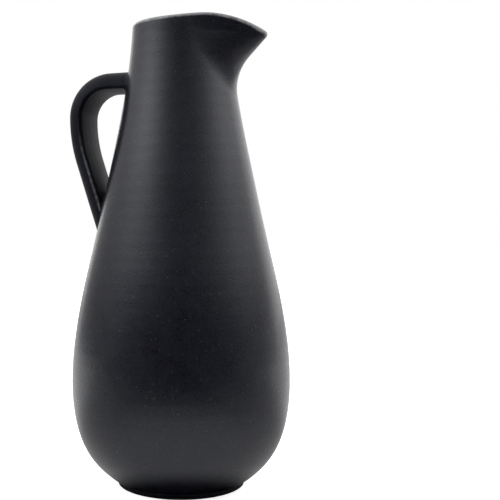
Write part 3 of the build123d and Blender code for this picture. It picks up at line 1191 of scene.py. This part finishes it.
rays = add_node(tree, "ShaderNodeLightPath").outputs
unmirrored = math_node(tree, "SUBTRACT", 1, rays["Is Glossy Ray"])
whiteness = math_node(tree, "MAXIMUM", mirrored_floor, unmirrored)
paper = add_node(tree, "ShaderNodeBsdfDiffuse", Color=laid_over(tree, black, whiteness, table_white))
seen = times(tree, rays["Is Camera Ray"], camera_fill)
mirrored = times(tree, times(tree, rays["Is Glossy Ray"], mirror_fill), mirrored_floor)
fill = add_node(tree, "ShaderNodeEmission", Strength=plus(tree, seen, mirrored))
both = add_node(tree, "ShaderNodeAddShader")
feed(tree, paper.outputs[0], both.inputs[0])
feed(tree, fill.outputs[0], both.inputs[1])
add_node(tree, "ShaderNodeOutputMaterial", Surface=both.outputs[0])
table_mesh.materials.append(table_material)
print("the table's finish has", len(tree.nodes), "nodes")

# %% [markdown]
# ## The world
# Behind the jug everything is white. As a lamp the world is plainer: what lights the jug is only
# about half as bright as what the camera and the gloss see.

# %% World
room_light = 0.55
world = bpy.data.worlds.new("white_room")
bpy.context.scene.world = world
world.use_nodes = True
tree = world.node_tree
tree.nodes.clear()
rays = add_node(tree, "ShaderNodeLightPath").outputs
seen = math_node(tree, "MAXIMUM", rays["Is Camera Ray"], rays["Is Glossy Ray"])
seen = math_node(tree, "MAXIMUM", seen, rays["Is Transmission Ray"])
strength = plus(tree, times(tree, seen, 1 - room_light), room_light)
background = add_node(tree, "ShaderNodeBackground", Color=(1, 1, 1, 1), Strength=strength)
add_node(tree, "ShaderNodeOutputWorld", Surface=background.outputs[0])
print("the world lights the jug with", room_light, "of its white")

# %% [markdown]
# ## The room
# The room before the jug, where the photographer stands, is dark in its middle and grows lighter to
# the sides. A curved screen stands for it: only mirrors and bounced light see it. Its glow is a short
# list of turns round the jug, counted from the camera's side, with more light high up and the broad
# soft-edged glow of the lamps, the left one in two parts. A lamp's own sharp rectangle would show in
# the satin neck as a hard-edged patch, and the soft edge on the screen doesn't.

# %% Glow of the room
screen_turns = np.linspace(-148, 128, 97)
screen_heights = np.linspace(-1.5, 2.3, 77)
level_glow = {
    -148: 1.0, -140: 0.30, -105: 0.20, -90: 0.26, -75: 0.30, -62: 0.20, -50: 0.11,
    -35: 0.06, -20: 0.04, 0: 0.02, 20: 0.05, 35: 0.09, 50: 0.13, 62: 0.20, 75: 0.31,
    86: 0.35, 99: 0.36, 115: 0.42, 128: 1.0,
}
front_glow = 0.28


def high_up(low, high):
    """0 at the screen's rows below the low height, 1 above the high one, and a ramp between."""
    return ramp(screen_heights - low, high - low)[:, None]


def mirrored_lamp(turn, spread, low, high, strength):
    """The soft-edged glow of a lamp on the screen, over turns and heights."""
    across = np.exp(-0.5 * ((screen_turns - turn) / spread) ** 2)
    return strength * high_up(low, high) * across[None, :]


round_glow = np.interp(screen_turns, list(level_glow), list(level_glow.values()))
glow_grid = round_glow[None, :] + front_glow * high_up(0.50, 1.15)
glow_grid += mirrored_lamp(turn=-95, spread=26, low=0.25, high=0.60, strength=0.38)
glow_grid += mirrored_lamp(turn=-68, spread=21, low=0.60, high=1.05, strength=2.00)
glow_grid += mirrored_lamp(turn=88, spread=26, low=0.35, high=1.05, strength=1.35)
print("the room glows from", round(glow_grid.min(), 3), "to", round(glow_grid.max(), 2))

# %% [markdown]
# ## A screen for the room
# The screen is a grid of faces bent round the jug. Each corner carries its glow as a number, which
# the screen's finish reads as the strength of its light.

# %% Room screen
screen_radius = 1.6
screen_angles = camera_turn + np.radians(screen_turns)
screen_points = [
    (screen_radius * math.sin(angle), -screen_radius * math.cos(angle), height)
    for height in screen_heights for angle in screen_angles
]
corner = np.arange(len(screen_points)).reshape(glow_grid.shape)
screen_faces = np.stack((corner[:-1, :-1], corner[:-1, 1:], corner[1:, 1:], corner[1:, :-1]), axis=-1)
screen_mesh = bpy.data.meshes.new("room_screen")
screen_mesh.from_pydata(screen_points, [], screen_faces.reshape(-1, 4).tolist())
glow = screen_mesh.attributes.new("glow", "FLOAT", "POINT")
glow.data.foreach_set("value", glow_grid.astype(np.float32).ravel())
room_screen = put_in_scene("room_screen", screen_mesh)
room_screen.visible_camera = False
room_screen.visible_shadow = False
screen_material, tree = new_material("room_screen")
screen_glow = add_node(tree, "ShaderNodeAttribute", attribute_name="glow")
screen_light = add_node(tree, "ShaderNodeEmission", Strength=screen_glow.outputs["Fac"])
add_node(tree, "ShaderNodeOutputMaterial", Surface=screen_light.outputs[0])
screen_mesh.materials.append(screen_material)
print("room screen spans", screen_turns[0], "to", screen_turns[-1], "degrees")

# %% [markdown]
# ## The lamps
# Two large soft boxes hang high at the sides, the left one stronger. They give the jug its plain
# light and its soft shadow. They are hidden from gloss, because the screen already holds their
# mirrored glow. Watts are chosen from how bright the lamp's own face should look: power is that
# brightness times pi times the lamp's area.

# %% Soft boxes
lamp_target = Vector((0, 0, 0.2))
lamp_side = 0.80


def soft_box(name, turn, distance, height, width, brightness):
    """A rectangular lamp at a turn from the camera's side that faces the jug's neck."""
    lamp_data = bpy.data.lights.new(name, "AREA")
    lamp_data.shape = "RECTANGLE"
    lamp_data.size = width
    lamp_data.size_y = lamp_side
    lamp_data.energy = brightness * math.pi * width * lamp_side
    lamp = put_in_scene(name, lamp_data)
    angle = camera_turn + math.radians(turn)
    lamp.location = (distance * math.sin(angle), -distance * math.cos(angle), height)
    lamp.rotation_euler = (lamp_target - lamp.location).to_track_quat("-Z", "Y").to_euler()
    lamp.visible_glossy = False
    print(name, "gives", round(lamp_data.energy, 1), "W")


soft_box("left_box", turn=-77, distance=1.05, height=0.94, width=1.40, brightness=2.1)
soft_box("right_box", turn=95, distance=1.05, height=0.92, width=1.20, brightness=1.8)
bpy.context.scene.view_settings.view_transform = "Standard"
